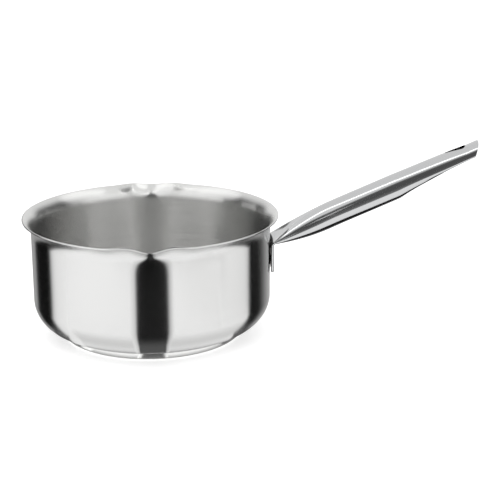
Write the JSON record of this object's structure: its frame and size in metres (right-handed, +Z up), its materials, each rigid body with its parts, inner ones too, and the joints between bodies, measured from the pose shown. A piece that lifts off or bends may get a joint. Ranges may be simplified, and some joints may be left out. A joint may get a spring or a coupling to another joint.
{
  "type": "saucepan",
  "caption": "Round stainless steel saucepan with a flared rim, pouring spouts on both sides, a sandwich base and a long rising tube handle with a hanging slot.",
  "frame": {"origin": "on the pan's axis at the underside of the base", "axes": "+Z up along the pan's axis, +X along the handle, +Y and -Y towards the pouring spouts"},
  "size_m": [0.3094, 0.1792, 0.1302],
  "materials": {
    "pan_steel": "satin-brushed stainless steel, brushed round the pan",
    "core_aluminium": "plain aluminium, closed in",
    "cap_steel": "satin stainless steel, turned underside",
    "handle_steel": "polished stainless steel tube",
    "weld_steel": "bare weld metal"
  },
  "bodies": {
    "root": {"pan_body": "pan_steel", "heat_spreader": "core_aluminium", "base_cap": "cap_steel", "handle_tube": "handle_steel", "spot_weld_1": "weld_steel", "spot_weld_2": "weld_steel", "spot_weld_3": "weld_steel", "spot_weld_4": "weld_steel"}
  },
  "joints": []
}
